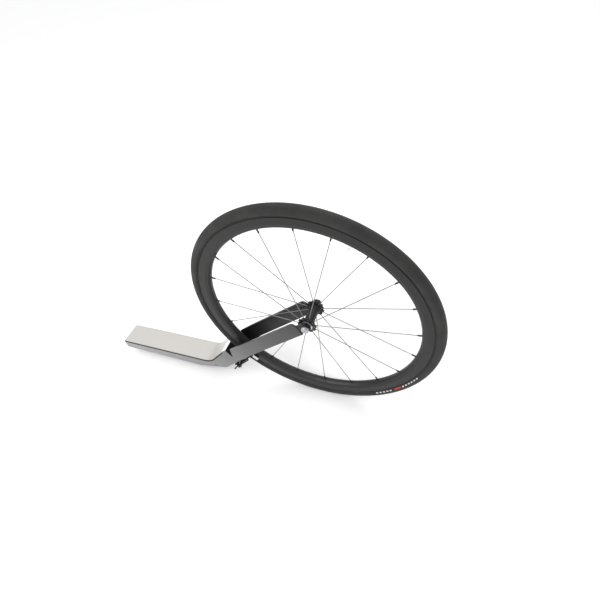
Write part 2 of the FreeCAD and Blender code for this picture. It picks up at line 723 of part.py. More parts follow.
def make_spokes(name, side):
    body = new_body(name)
    elbow_from = "(%s - spoke_r * 0.6)" % SPOKE_Y
    elbow = new_sketch(body, "XZ_Plane", ("0", "0", "%d * %s" % (-side, elbow_from)))
    draw_circle(elbow, "0", "spoke_hole_r", "spoke_r")
    first = pad(body, elbow, "flange_y + flange_thick / 2 + spoke_head_thick - " + elbow_from, reverse=side > 0)
    head = new_sketch(body, "XZ_Plane", ("0", "0", "%d * (flange_y + flange_thick / 2)" % -side))
    draw_circle(head, "0", "spoke_hole_r", "spoke_head_r")
    second = pad(body, head, "spoke_head_thick", reverse=side > 0)
    shaft = spoke_circle(body, side, "spoke_hole_r", "spoke_r")
    third = pad(body, shaft, along_length("spoke_hole_r", "rim_in_r + rim_wall + 2.4"))
    doc.recompute()
    around(body, [first, second, third], "spoke_count")
    at_wheel(body, spoke_turn(side))
    node(body, name)


def make_nipples(name, side):
    body = new_body(name)
    seat = "rim_in_r + rim_wall + 0.2"
    shank = spoke_circle(body, side, "rim_in_r - nipple_show", "nipple_r", "spoke_r")
    first = pad(body, shank, along_length("rim_in_r - nipple_show", seat))
    head = spoke_circle(body, side, seat, "nipple_head_r", "spoke_r")
    second = pad(body, head, "nipple_head")
    doc.recompute()
    around(body, [first, second], "spoke_count")
    at_wheel(body, spoke_turn(side))
    node(body, name)


def drilled(name, body, reach_from, reach_to, radius):
    """Cut the valve's hole through a wheel piece; the hole is turned to the valve's place."""
    drill = doc.addObject("Part::Cylinder", name + "_drill")
    bind(drill, "Radius", radius)
    bind(drill, "Height", "(%s) - (%s)" % (reach_to, reach_from))
    place(drill, "wheel_x + (%s) * sin(valve_turn)" % reach_from, "0",
          "wheel_z + (%s) * cos(valve_turn)" % reach_from, "valve_turn")
    return node(boolean("Cut", name, body, drill), name)


VALVE_TOP = "(tyre_r - tyre_half - tube_r)"


def valve_tube(name, r_in, r_out, start, length):
    body = new_body(name)
    sketch = new_sketch(body, "XY_Plane", ("0", "0", start))
    draw_circle(sketch, "0", "0", r_out)
    if r_in:
        draw_circle(sketch, "0", "0", r_in)
    pad(body, sketch, length)
    at_wheel(body, "valve_turn")
    node(body, name)


def make_valve():
    low = "(%s - valve_long)" % VALVE_TOP
    valve_tube("valve_stem", None, "valve_r", low, "valve_long")
    valve_tube("valve_nut", "valve_r", "valve_r + 2", "rim_in_r - 2.7", "2.6")
    valve_tube("valve_cap", None, "valve_r - 0.6", low + " - 9", "9")


# ---------------------------------------------------------------- hub and axle

def make_hub_shell():
    f0, f1 = "flange_y - flange_thick / 2", "flange_y + flange_thick / 2"
    seat = "bearing_y - bearing_wide"

    def half(sign):
        rows = [("hub_body_r", seat + " - 3"), ("hub_end_r", f0 + " - 1.5"), ("flange_r - 2", f0 + " + 0.6"),
                ("flange_r", f0 + " + 0.6"), ("flange_r", f1), ("hub_end_r", f1), ("hub_end_r", "hub_end_y"),
                ("bearing_out_r", "hub_end_y"), ("bearing_out_r", seat), ("bearing_out_r - 3", seat)]
        return [(r, "%s(%s)" % ("-" if sign < 0 else "", y)) for r, y in rows]
    corners = half(1) + list(reversed(half(-1)))
    body = ring_body("hub_shell", corners, turn="spoke_turn")
    for side in (-1, 1):
        turn = "0" if side < 0 else "180 / spoke_count"
        holes = new_sketch(body, "XZ_Plane", ("0", "0", "%d * (%s - 3)" % (-side, f0)))
        draw_circle(holes, "spoke_hole_r * sin(%s)" % turn, "spoke_hole_r * cos(%s)" % turn, "spoke_r")
        drill = pad(body, holes, "flange_thick + 6", kind="Pocket", reverse=side < 0)
        bites = new_sketch(body, "XZ_Plane", ("0", "0", "%d * (%s - 3)" % (-side, f0)))
        turn = "%s + 180 / spoke_count" % turn
        reach = "(flange_r + scallop_r * 0.45)"
        draw_circle(bites, "%s * sin(%s)" % (reach, turn), "%s * cos(%s)" % (reach, turn), "scallop_r")
        bite = pad(body, bites, "flange_thick + 6", kind="Pocket", reverse=side < 0)
        doc.recompute()
        around(body, [drill, bite], "spoke_count")
        doc.recompute()
    node(body, "hub_shell")


def mirrored_rings(name, corners):
    """The same turned piece at both ends of the hub, as two solids of one node."""
    body = new_body(name)
    for sign in (-1, 1):
        sketch = new_sketch(body, "XY_Plane")
        rows = [(c[0], "%s(%s)" % ("-" if sign < 0 else "", c[1])) + tuple(
            "%s(%s)" % ("-" if sign < 0 else "", r) for r in c[2:]) for c in corners]
        draw_outline(sketch, rows)
        turn_solid(body, "Revolution", sketch)
    at_wheel(body)
    node(body, name)


def make_bearings():
    y0, y1 = "bearing_y - bearing_wide", "bearing_y"
    mid = "(bearing_y - bearing_wide / 2)"
    pitch = "((race_in_r + race_out_r) / 2)"
    g = "ball_groove_r"
    outer_half = "sqrt(%s ^ 2 - (race_out_r - %s) ^ 2)" % (g, pitch)
    inner_half = "sqrt(%s ^ 2 - (%s - race_in_r) ^ 2)" % (g, pitch)
    mirrored_rings("bearing_outer_races", [
        ("race_out_r", y0), ("bearing_out_r", y0), ("bearing_out_r", y1), ("race_out_r", y1),
        ("race_out_r", "%s + %s" % (mid, outer_half), "-" + g), ("race_out_r", "%s - %s" % (mid, outer_half))])
    mirrored_rings("bearing_inner_races", [
        ("bearing_in_r", y0), ("race_in_r", y0), ("race_in_r", "%s - %s" % (mid, inner_half), "-" + g),
        ("race_in_r", "%s + %s" % (mid, inner_half)), ("race_in_r", y1), ("bearing_in_r", y1)])
    body = new_body("bearing_balls")
    made = []
    for sign in ("-", ""):
        sketch = new_sketch(body, "XY_Plane")
        draw_outline(sketch, [(pitch, "%s(%s) - ball_r" % (sign, mid), "ball_r"),
                              (pitch + " + ball_r", "%s(%s)" % (sign, mid), "ball_r"),
                              (pitch, "%s(%s) + ball_r" % (sign, mid))])
        axis = sketch.addGeometry(Part.LineSegment(V(value_of(pitch), -60, 0), V(value_of(pitch), 60, 0)), True)
        pin(sketch, axis, 1, pitch, "-60")
        pin(sketch, axis, 2, pitch, "60")
        made.append(feature(body, "Revolution", sketch, ReferenceAxis=(sketch, ["Axis0"]), Angle=360.0))
    doc.recompute()
    around(body, made, "ball_count")
    at_wheel(body)
    node(body, "bearing_balls")


def make_axle():
    end = "(locknut_width / 2 + dropout_thick - 0.5)"
    mid = "(locknut_width / 2)"
    body = ring_body("hub_axle", [
        ("axle_bore_r", "-" + end), ("axle_end_r", "-" + end), ("axle_end_r", "-" + mid),
        ("bearing_in_r", "-" + mid), ("bearing_in_r", mid), ("axle_end_r", mid), ("axle_end_r", end),
        ("axle_bore_r", end)])
    node(body, "hub_axle")
    for name, sign in (("end_cap_right", "-"), ("end_cap_left", "")):
        rows = [("bearing_in_r", "bearing_y"), ("cap_lip_r", "bearing_y"), ("cap_lip_r", "bearing_y + 1"),
                ("cap_r", "bearing_y + 1"), ("cap_r", "locknut_width / 2"), ("bearing_in_r", "locknut_width / 2")]
        node(ring_body(name, [(r, "%s(%s)" % (sign, y)) for r, y in rows]), name)
    mirrored_rings("dust_rings", [
        ("ring_in_r", "bearing_y"), ("bearing_out_r", "bearing_y"), ("bearing_out_r", "hub_end_y"),
        ("hub_end_r - 0.4", "hub_end_y"), ("hub_end_r - 0.4", "hub_end_y + 0.8"), ("ring_in_r", "hub_end_y + 0.8")])


# ---------------------------------------------------------------- skewer

OUTER = "(locknut_width / 2 + dropout_thick)"


def make_skewer():
    rod_end = "(%s + barrel_y - barrel_r - barrel_clear)" % OUTER
    node(ring_body("skewer_rod", box_corners("0", "rod_r", "-(%s + nut_long - 2)" % OUTER, rod_end)), "skewer_rod")
    bore = "rod_r + rod_clear"
    face, end = "-" + OUTER, "-(%s + nut_long)" % OUTER
    node(ring_body("skewer_nut", [
        (bore, end + " + 0.6"), (bore + " + 0.6", end), ("nut_r - 1.6", end), ("nut_r", end + " + 1.6"),
        ("nut_r", face), ("nut_recess_r", face), ("nut_recess_r", face + " - nut_recess"),
        (bore, face + " - nut_recess")]), "skewer_nut")
    make_spring("skewer_spring_right", "-", OUTER, "rod_r")
    make_spring("skewer_spring_left", "", OUTER, "rod_r + rod_clear")


def make_spring(name, sign, start, bore):
    """A conical spring round the rod, wide end towards the dropout."""
    rows = [(bore, start + " + spring_long"), (bore, start + " + spring_long - spring_wire"),
            ("spring_r - spring_wire", start + " + 0.3"), ("spring_r", start + " + 0.3"),
            ("spring_r", start + " + 0.3 + spring_wire"), (bore + " + spring_wire", start + " + spring_long")]
    node(ring_body(name, [(r, "%s(%s)" % (sign, y)) for r, y in rows]), name)


def make_lever():
    body = ring_body("cam_housing", [
        (bore_text(), OUTER + " + nut_recess"), ("nut_recess_r", OUTER + " + nut_recess"),
        ("nut_recess_r", OUTER), ("housing_r", OUTER), ("housing_r", OUTER + " + housing_long - 3"),
        ("housing_r - 3", OUTER + " + housing_long"), ("0", OUTER + " + housing_long"),
        ("0", OUTER + " + barrel_y"), (bore_text(), OUTER + " + barrel_y")], turn="lever_turn")
    cross = new_sketch(body, "XY_Plane")
    draw_circle(cross, "0", OUTER + " + barrel_y", "barrel_r + barrel_clear")
    through(body, cross)
    node(body, "cam_housing")
    lever = new_body("skewer_lever")
    middle = OUTER + " + barrel_y"
    barrel = new_sketch(lever, "XY_Plane", ("0", "0", "-housing_r - 1"))
    draw_circle(barrel, "0", middle, "barrel_r")
    pad(lever, barrel, "2 * housing_r + 2")
    cheek = new_sketch(lever, "XY_Plane", ("0", "0", "housing_r + 0.6"))
    draw_outline(cheek, [
        ("-barrel_r - 1.4", middle + " - 4"), ("barrel_r + 1", middle + " - 5"), ("14", middle + " - 3.4"),
        ("26", middle + " - 1.4"), ("26", middle + " - 1.4 + lever_thick"),
        ("12", middle + " + 3.6"), ("barrel_r", middle + " + 5.2"), ("-barrel_r - 1.4", middle + " + 4")])
    pad(lever, cheek, "4")
    paddle = new_sketch(lever, "XY_Plane", ("0", "0", "housing_r + 4.6 - lever_wide"))
    draw_outline(paddle, [
        ("14", middle + " - 3.4"), ("26", middle + " - 1.4"), ("lever_long * 0.7", middle + " + 1"),
        ("lever_long", middle + " + 4"), ("lever_long - 1", middle + " + 4 + lever_thick * 0.7"),
        ("lever_long * 0.7", middle + " + 1 + lever_thick"), ("26", middle + " - 1.4 + lever_thick"),
        ("14", middle + " - 3.4 + lever_thick")])
    pad(lever, paddle, "lever_wide")
    at_wheel(lever, "lever_turn")
    node(lever, "skewer_lever")


def bore_text():
    return "rod_r + rod_clear"


# ---------------------------------------------------------------- rim brake
# Drawn with X along the brake bolt away from the crown (0 at the nut's face), Y across, Z towards the axle.

def brake_pad_solid(name, outlines, start, length, holes=()):
    """Plates across the bolt's line, with round holes given as (y, z, radius)."""
    body = new_body(name)
    sketch = new_sketch(body, "YZ_Plane", ("0", "0", start))
    draw_outline(sketch, outlines)
    pad(body, sketch, length)
    for y, z, radius in holes:
        hole = new_sketch(body, "YZ_Plane", ("0", "0", start))
        draw_circle(hole, y, z, radius)
        through(body, hole)
    at_brake(body)
    return body


def brake_rod(name, *steps):
    """Round pieces on lines along the bolt: (y, z, outer radius, bore or None, start, length)."""
    body = new_body(name)
    for y, z, outer, bore, start, length in steps:
        sketch = new_sketch(body, "YZ_Plane", ("0", "0", start))
        draw_circle(sketch, y, z, outer)
        if bore:
            draw_circle(sketch, y, z, bore)
        pad(body, sketch, length)
    at_brake(body)
    node(body, name)


BRACKET = "(-boss_face)"
ARM_A = "(-boss_face + 4 + arm_gap)"
ARM_B = "(-boss_face + 4 + 2 * arm_gap + arm_thick)"
NUT_BACK = "(-boss_face + 4 + 3 * arm_gap + 2 * arm_thick)"
PIVOT_Z = "-2"
PAD_IN = "(rim_half + pad_gap)"
SHOE_OUT = "(rim_half + pad_gap + pad_thick + shoe_thick)"


def hex_corners(y, z, flat):
    """A hexagon of a given half width across flats."""
    far = "(%s) / cos(30)" % flat
    return [("%s + %s * cos(%d)" % (y, far, a), "%s + %s * sin(%d)" % (z, far, a)) for a in range(0, 360, 60)]


def make_brake_fixed():
    brake_rod("brake_bolt", ("0", "0", "brake_bolt_r", None, "-boss_face - bolt_deep", "boss_face + bolt_deep - 1.5"))
    body = brake_pad_solid("brake_nut", hex_corners("0", "0", "5"), NUT_BACK, "-%s" % NUT_BACK,
                           [("0", "0", "brake_bolt_r")])
    node(body, "brake_nut")
    brake_rod("brake_spacer", ("0", "0", "brake_bolt_r + 3", "brake_bolt_r", ARM_B, "arm_thick"))
    bracket = [("-pivot_side - 6", "-7"), ("0", "-8"), ("8", "-5"), ("8", "5"), ("0", "8"), ("-pivot_side - 6", "4")]
    body = brake_pad_solid("brake_bracket", bracket, BRACKET, "4", [("0", "0", "brake_bolt_r")])
    node(body, "brake_bracket")
    start = "-boss_face + 4"
    brake_rod("side_pivot", ("-pivot_side", PIVOT_Z, "brake_bolt_r", None, start, "%s - (%s)" % (NUT_BACK, start)),
              ("-pivot_side", PIVOT_Z, "brake_bolt_r + 2", None, NUT_BACK, "3"))
    brake_rod("return_spring", ("-pivot_side", PIVOT_Z, "brake_bolt_r + 2.2", "brake_bolt_r", start,
                                "%s - (%s) - 0.4" % (ARM_B, start)))


def arm_corners(sign, root):
    """Outline of one arm; root is the list of corners round its pivot, from inside to outside."""
    i, o = "arm_inside", "(arm_inside + arm_wide)"
    reach = [(i, "26"), (i, "pad_reach - 13"), (SHOE_OUT, "pad_reach - 7"), (SHOE_OUT, "pad_reach + 6"),
             (SHOE_OUT + " + 8", "pad_reach + 6"), (o, "pad_reach - 8"), (o, "20")]
    return [("%d * (%s)" % (sign, y), z) for y, z in root[0] + reach + root[1]]


def make_arm(side_name, sign, start, root, holes):
    name = "brake_arm_" + side_name
    body = brake_pad_solid(name, arm_corners(sign, root), start, "arm_thick", holes)
    sketch = new_sketch(body, "XZ_Plane", ("0", "0", "%d * %s" % (-sign, SHOE_OUT)))
    draw_circle(sketch, "%s + arm_thick / 2" % start, "pad_reach", "pad_bolt_r")
    pad(body, sketch, "arm_wide + 12", kind="Pocket", reverse=sign < 0)
    if side_name == "left":
        seat = new_sketch(body, "XY_Plane", ("0", "0", "-26.5"))
        draw_circle(seat, "%s + arm_thick / 2" % start, "-27.5", "2 + bolt_clear")
        pad(body, seat, "11.4", kind="Pocket", reverse=True)
    node(body, name)
    middle = "(%s + arm_thick / 2)" % start

    def shoe_piece(piece, from_y, thick, tall, long_text, x_middle):
        item = new_body(piece)
        face = new_sketch(item, "XZ_Plane", ("0", "0", "%d * (%s)" % (-sign, from_y)))
        draw_outline(face, box_corners("%s - %s / 2" % (x_middle, long_text), "%s + %s / 2" % (x_middle, long_text),
                                       "pad_reach - %s / 2" % tall, "pad_reach + %s / 2" % tall))
        pad(item, face, thick, reverse=sign > 0)
        at_brake(item)
        node(item, piece)

    centre = "(%s + 4)" % middle if side_name == "right" else "(%s + 10)" % middle
    shoe_piece("brake_pad_" + side_name, PAD_IN, "pad_thick", "pad_tall", "(pad_long - 6)", centre)
    shoe_piece("pad_holder_" + side_name, PAD_IN + " + pad_thick", "shoe_thick", "(pad_tall + 1)",
               "(pad_long - 4)", centre)
    bolt = new_body("pad_bolt_" + side_name)
    for radius, from_y, length in (("pad_bolt_r", SHOE_OUT, "arm_wide + 1"),
                                   ("pad_bolt_r + 1.7", SHOE_OUT + " + arm_wide + 1", "3")):
        sketch = new_sketch(bolt, "XZ_Plane", ("0", "0", "%d * (%s)" % (-sign, from_y)))
        draw_circle(sketch, middle, "pad_reach", radius)
        pad(bolt, sketch, length, reverse=sign > 0)
    at_brake(bolt)
    node(bolt, "pad_bolt_" + side_name)


def make_brake_arms():
    run = "brake_bolt_r + bolt_clear"
    left_root = ([("-3", "8"), ("8", "8"), ("18", "13")],
                 [("27", "5"), ("12", "-7"), ("4", "-9"), ("-10", "-13.5"), ("-33", "-20.5"), ("-38", "-12.5"),
                  ("-14", "-8.4"), ("-7", "0")])
    make_arm("left", 1, ARM_A, left_root, [("0", "0", run), ("-33.5", "-15", "1.5")])
    p = "pivot_side"
    right_root = ([(p + " - 7", "-4"), (p + " - 6", "4"), (p + " + 1", "10")],
                  [(p + " + 14", "5"), (p + " + 25", "1"), (p + " + 25", "-8"), (p + " + 10", "-10"),
                   (p + " - 2", "-10")])
    make_arm("right", -1, ARM_B, right_root, [("-pivot_side", PIVOT_Z, run), ("-pivot_side - 20", "-3.5", "2")])
    brake_rod("cable_anchor", ("-pivot_side - 20", "-3.5", "2", None, ARM_B, "arm_thick + 1"),
              ("-pivot_side - 20", "-3.5", "4", None, ARM_B + " + arm_thick", "4"))
    brake_rod("release_lever", ("-33.5", "-15", "1.45", None, ARM_A + " + 0.5", "arm_thick + 0.5"),
              ("-33.5", "-15", "4.4", None, ARM_A + " + arm_thick + 0.4", "3.4"))
    lever = NODES.pop()
    arm = new_sketch(lever, "YZ_Plane", ("0", "0", ARM_A + " + arm_thick + 0.4"))
    draw_outline(arm, [("-31", "-18.5"), ("-36", "-18.5"), ("-44", "-30"), ("-41", "-33.5")])
    pad(lever, arm, "3.4")
    node(lever, "release_lever")
    body = new_body("barrel_adjuster")
    for radius, start, length in (("2", "-20.5", "5"), ("3.2", "-30.5", "10.4"), ("2.4", "-33.5", "3")):
        sketch = new_sketch(body, "XY_Plane", ("0", "0", start))
        draw_circle(sketch, "%s + arm_thick / 2" % ARM_A, "-27.5", radius)
        pad(body, sketch, length)
    at_brake(body)
    node(body, "barrel_adjuster")


# ---------------------------------------------------------------- build, check, write

def make_all():
    make_frame()
    make_layer("deck_gasket", "0", "gasket_thick", "beam_width")
    make_layer("deck_plate", "gasket_thick", STACK, "beam_width - 2 * plate_inset", "plate_short")
    make_crown_cover()
    make_bulkhead()
    make_plugs()
    make_dropout("dropout_right", -1)
    make_dropout("dropout_left", 1)
    make_tyre()
    make_tube()
    drilled("rim", make_rim(), "rim_in_r - 4", "bead_seat_r", "valve_r")
    tape = tube_body("tape_hoop", "rim_floor_r", "rim_floor_r + tape_thick", "-(rim_half - rim_hook - 3)",
                     "rim_half - rim_hook - 3")
    drilled("rim_tape", tape, "rim_in_r", "bead_seat_r", "valve_r")
    make_spokes("spokes_right", -1)
    make_spokes("spokes_left", 1)
    make_nipples("nipples_right", -1)
    make_nipples("nipples_left", 1)
    make_valve()
    make_hub_shell()
    make_bearings()
    make_axle()
    make_skewer()
    make_lever()
    make_brake_fixed()
    make_brake_arms()


def check_document():
    doc.recompute()
    for item in doc.Objects:
        if "Invalid" in item.State or "Error" in item.State:
            raise RuntimeError("%s did not build: %s" % (item.Label, item.State))
    for item in NODES:
        if item.Shape.isNull() or not item.Shape.isValid():
            raise RuntimeError("%s has no sound shape" % item.Label)


def write_parts():
    os.makedirs("parts", exist_ok=True)
    for item in NODES:
        item.Shape.exportStep("parts/%s.step" % item.Label)
        box = item.Shape.BoundBox
        print("%-22s solids %2d volume %10.1f  x %.1f..%.1f y %.1f..%.1f z %.1f..%.1f" % (
            item.Label, len(item.Shape.Solids), item.Shape.Volume,
            box.XMin, box.XMax, box.YMin, box.YMax, box.ZMin, box.ZMax))


make_all()
check_document()
doc.removeObject(probe.Name)
write_parts()
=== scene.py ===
# %% [markdown]
# # Quick-release wheel and deck beam, step by step
# This script finishes a CAD model in Blender. The CAD parts arrive as plain meshes that already sit in the
# right place. Each cell below adds one thing: a camera, light, materials, then finer pieces in mesh code.
# Everything is in metres. +X runs from the beam's mounting face to the wheel, +Y is the lever side, +Z is up.

# %% Load the frame
import bmesh
import bpy
import math
from mathutils import Matrix, Vector


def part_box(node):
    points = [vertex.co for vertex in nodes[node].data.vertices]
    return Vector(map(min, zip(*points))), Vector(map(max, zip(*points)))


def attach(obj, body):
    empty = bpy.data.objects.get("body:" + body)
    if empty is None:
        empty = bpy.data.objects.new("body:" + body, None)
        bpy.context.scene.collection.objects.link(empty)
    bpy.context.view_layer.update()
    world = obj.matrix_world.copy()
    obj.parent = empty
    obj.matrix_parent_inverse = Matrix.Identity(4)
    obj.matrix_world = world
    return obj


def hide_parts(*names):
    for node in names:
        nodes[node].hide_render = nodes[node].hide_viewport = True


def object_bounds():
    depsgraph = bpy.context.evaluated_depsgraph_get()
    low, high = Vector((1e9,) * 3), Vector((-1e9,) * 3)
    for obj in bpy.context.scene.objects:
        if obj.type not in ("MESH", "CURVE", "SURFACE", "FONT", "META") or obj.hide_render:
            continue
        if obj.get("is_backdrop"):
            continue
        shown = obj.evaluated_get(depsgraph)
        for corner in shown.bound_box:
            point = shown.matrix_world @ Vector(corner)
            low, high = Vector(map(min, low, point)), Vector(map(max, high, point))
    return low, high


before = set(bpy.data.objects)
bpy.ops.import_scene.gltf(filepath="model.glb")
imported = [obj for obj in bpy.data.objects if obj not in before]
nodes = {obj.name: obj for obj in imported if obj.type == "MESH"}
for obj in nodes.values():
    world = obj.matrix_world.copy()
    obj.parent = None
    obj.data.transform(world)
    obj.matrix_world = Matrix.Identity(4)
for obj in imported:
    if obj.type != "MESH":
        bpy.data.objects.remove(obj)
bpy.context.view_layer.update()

# %% [markdown]
# ## Places that the other cells share
# The wheel's middle is read from the tyre's box, and the other sizes from their own CAD parts, so that no
# place is typed twice.

# %% Shared places
tyre_low, tyre_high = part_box("tyre")
AXLE = Vector(((tyre_low.x + tyre_high.x) / 2, 0.0, (tyre_low.z + tyre_high.z) / 2))
TYRE_R = (tyre_high.x - tyre_low.x) / 2
TYRE_HALF = tyre_high.y
RIM_R = (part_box("rim")[1].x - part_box("rim")[0].x) / 2
RIM_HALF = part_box("rim")[1].y
FLOOR_Z = tyre_low.z
print("axle at", [round(v, 4) for v in AXLE], "tyre radius", round(TYRE_R, 4), "rim radius", round(RIM_R, 4))

# %% [markdown]
# ## Camera
# A camera looks along its own -Z. Its matrix holds three unit vectors: right, up and back. Building the
# matrix from them gives full control of the tilt. The shift values move the picture without turning the view.

# %% Camera
camera_data = bpy.data.cameras.new("Camera")
camera = bpy.data.objects.new("Camera", camera_data)
scene = bpy.context.scene
scene.collection.objects.link(camera)
back = Vector((0.31572, -0.59668, 0.73776)).normalized()
right = Vector((0.93234, 0.33951, -0.12440))
right = (right - back * right.dot(back)).normalized()
up = back.cross(right)
spin = Matrix((right, up, back)).transposed().to_4x4()
VIEW_DISTANCE = 1.1665
camera.matrix_world = Matrix.Translation(AXLE + back * VIEW_DISTANCE) @ spin
camera_data.lens = 26.93
camera_data.shift_x = -0.0188
camera_data.shift_y = 0.0273
scene.camera = camera
scene.view_settings.view_transform = "Standard"
print("camera at", [round(v, 3) for v in camera.location])

# %% [markdown]
# ## Floor and light
# A product studio has a white sheet, a big soft source above and dark walls. The sky here is a gradient that
# is bright overhead and dim at the horizon: flat faces come out bright and upright black faces stay black.
# Two large area lights add soft shadows, because every point on them lights the object from a slightly
# different side.

# %% Floor and light
def quad(name, corners):
    mesh = bpy.data.meshes.new(name)
    mesh.from_pydata(corners, [], [(0, 1, 2, 3)])
    item = bpy.data.objects.new(name, mesh)
    scene.collection.objects.link(item)
    return item


reach = 12.0
floor = quad("Floor", [(-reach, -reach, FLOOR_Z), (reach, -reach, FLOOR_Z), (reach, reach, FLOOR_Z),
                       (-reach, reach, FLOOR_Z)])
floor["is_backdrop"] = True


def area_light(name, place, aim, size, power):
    data = bpy.data.lights.new(name, "AREA")
    data.shape = "RECTANGLE"
    data.size, data.size_y = size
    data.energy = power
    lamp = bpy.data.objects.new(name, data)
    facing = (Vector(place) - Vector(aim)).to_track_quat("Z", "Y")
    lamp.matrix_world = Matrix.Translation(place) @ facing.to_matrix().to_4x4()
    scene.collection.objects.link(lamp)


area_light("Key", (-0.8, -1.9, 2.4), (0.6, 0, 0.2), (2.2, 1.6), 46)
area_light("Rim", (1.2, 2.4, 2.0), (0.7, 0, 0.2), (2.0, 1.2), 18)
world = bpy.data.worlds.new("Sky")
scene.world = world
world.use_nodes = True
sky = world.node_tree
facing = sky.nodes.new("ShaderNodeTexCoord")
split = sky.nodes.new("ShaderNodeSeparateXYZ")
fade = sky.nodes.new("ShaderNodeValToRGB")
sky.links.new(facing.outputs["Generated"], split.inputs["Vector"])
sky.links.new(split.outputs["Z"], fade.inputs["Fac"])
sky.links.new(fade.outputs["Color"], sky.nodes["Background"].inputs["Color"])
fade.color_ramp.elements[0].position = 0.05
fade.color_ramp.elements[0].color = (0.30, 0.30, 0.31, 1.0)
fade.color_ramp.elements[1].position = 0.65
fade.color_ramp.elements[1].color = (1.0, 1.0, 1.0, 1.0)
sky.nodes["Background"].inputs["Strength"].default_value = 1.15

# %% [markdown]
# ## Small helpers for materials
# A node material is a graph. `tree.nodes.new` adds a box and `tree.links.new` draws a wire. These helpers
# keep each recipe short: one makes a Principled surface, the others feed its colour, roughness or bump.

# %% Material helpers
def surface(name, color, roughness, metallic=0.0, coat=0.0, shine=0.5):
    """A new material with one Principled surface; constants go straight on its sockets."""
    made = bpy.data.materials.new(name)
    made.use_nodes = True
    shader = made.node_tree.nodes["Principled BSDF"]
    shader.inputs["Base Color"].default_value = (*color, 1.0)
    shader.inputs["Roughness"].default_value = roughness
    shader.inputs["Metallic"].default_value = metallic
    shader.inputs["Coat Weight"].default_value = coat
    shader.inputs["Coat Roughness"].default_value = 0.12
    shader.inputs["Specular IOR Level"].default_value = shine
    return made


def add(material, kind, **inputs):
    """A new node of a kind, with some of its sockets set by name."""
    node = material.node_tree.nodes.new(kind)
    for name, value in inputs.items():
        node.inputs[name.replace("_", " ")].default_value = value
    return node


def wire(material, start, end):
    material.node_tree.links.new(start, end)


def shader_of(material):
    return material.node_tree.nodes["Principled BSDF"]


def place_on(material, kind="Object", stretch=(1, 1, 1)):
    """Where the texture is read: object space or the UV map, stretched by three factors."""
    spot = add(material, "ShaderNodeTexCoord")
    bend = add(material, "ShaderNodeMapping")
    bend.inputs["Scale"].default_value = stretch
    wire(material, spot.outputs[kind], bend.inputs["Vector"])
    return bend.outputs["Vector"]


def noise(material, where, scale, detail=4.0):
    made = add(material, "ShaderNodeTexNoise", Scale=scale, Detail=detail)
    wire(material, where, made.inputs["Vector"])
    return made.outputs["Fac"]


def ramp(material, value, stops):
    """Turn a value into a colour or a grey, from (position, colour) stops."""
    made = add(material, "ShaderNodeValToRGB")
    wire(material, value, made.inputs["Fac"])
    cells = made.color_ramp.elements
    for i, (position, color) in enumerate(stops):
        cell = cells[i] if i < 2 else cells.new(position)
        cell.position = position
        cell.color = (*color, 1.0)
    return made.outputs["Color"]


def grey(value):
    return (value, value, value)


def maths(material, kind, a, b=None):
    """One sum on values; a number goes straight on the socket."""
    made = add(material, "ShaderNodeMath")
    made.operation = kind
    for socket, value in zip(made.inputs, (a, b)):
        if isinstance(value, (int, float)):
            socket.default_value = value
        elif value is not None:
            wire(material, value, socket)
    return made.outputs["Value"]


def mix(material, a, b, kind="MULTIPLY", share=1.0):
    made = add(material, "ShaderNodeMix")
    made.data_type = "RGBA"
    made.blend_type = kind
    made.inputs["Factor"].default_value = share
    wire(material, a, made.inputs[6])
    wire(material, b, made.inputs[7])
    return made.outputs[2]


def bump(material, height, strength, distance, chain=None):
    made = add(material, "ShaderNodeBump", Strength=strength, Distance=distance)
    wire(material, height, made.inputs["Height"])
    if chain is not None:
        wire(material, chain, made.inputs["Normal"])
    return made.outputs["Normal"]


def mottle(material, where, scale, low, high):
    """Uneven roughness, as fingers and polishing leave it."""
    wire(material, ramp(material, noise(material, where, scale), [(0.3, grey(low)), (0.7, grey(high))]),
         shader_of(material).inputs["Roughness"])


print("helpers ready")

# %% [markdown]
# ## Lacquered carbon with painted shade
# The frame is moulded carbon under a satin lacquer. Its colour carries painted shade: grey at the deck,
# darkening to nearly black at the blade tips, where the light falls off. The shade is read from the height
# plus a quarter of the length, so it runs up the blades. A fine wave gives the weave, so weak that it shows
# only close up, and slow noise makes the roughness uneven. The insides of the blades have no lacquer and get
# their own darker recipe, whose near-black colour is painted shade.

# %% Carbon
def carbon_look(name, stops, low, high, coat, shine):
    made = surface(name, stops[0][1], (low + high) / 2, coat=coat, shine=shine)
    where = place_on(made)
    along = add(made, "ShaderNodeSeparateXYZ")
    wire(made, where, along.inputs["Vector"])
    rise = maths(made, "ADD", maths(made, "MULTIPLY", along.outputs["X"], 0.25), along.outputs["Z"])
    # For the frame, this ramp paints shade: the colour darkens as the height and the length grow.
    fade = ramp(made, rise, stops)
    weave = add(made, "ShaderNodeTexWave", Scale=160.0, Distortion=0.4, Detail=1.0)
    weave.bands_direction = "DIAGONAL"
    wire(made, where, weave.inputs["Vector"])
    threads = ramp(made, weave.outputs["Fac"], [(0.2, grey(0.86)), (0.8, grey(1.0))])
    wire(made, mix(made, fade, threads), shader_of(made).inputs["Base Color"])
    mottle(made, where, 14.0, low, high)
    skin = bump(made, weave.outputs["Fac"], 0.06, 0.0003)
    wire(made, bump(made, noise(made, where, 55.0), 0.08, 0.0006, skin), shader_of(made).inputs["Normal"])
    return made


tip = AXLE.x * 0.25 + AXLE.z
# Painted shade: grey at the deck, darkening to nearly black at the blade tips.
carbon = carbon_look("LacqueredCarbonPaintedShade", [(0.02, (0.30, 0.295, 0.30)), (tip - 0.37, (0.21, 0.205, 0.21)),
                                         (tip - 0.24, (0.105, 0.103, 0.106)),
                                         (tip - 0.13, (0.062, 0.061, 0.063)),
                                         (tip - 0.02, (0.022, 0.022, 0.023))], 0.36, 0.48, 0.25, 0.4)
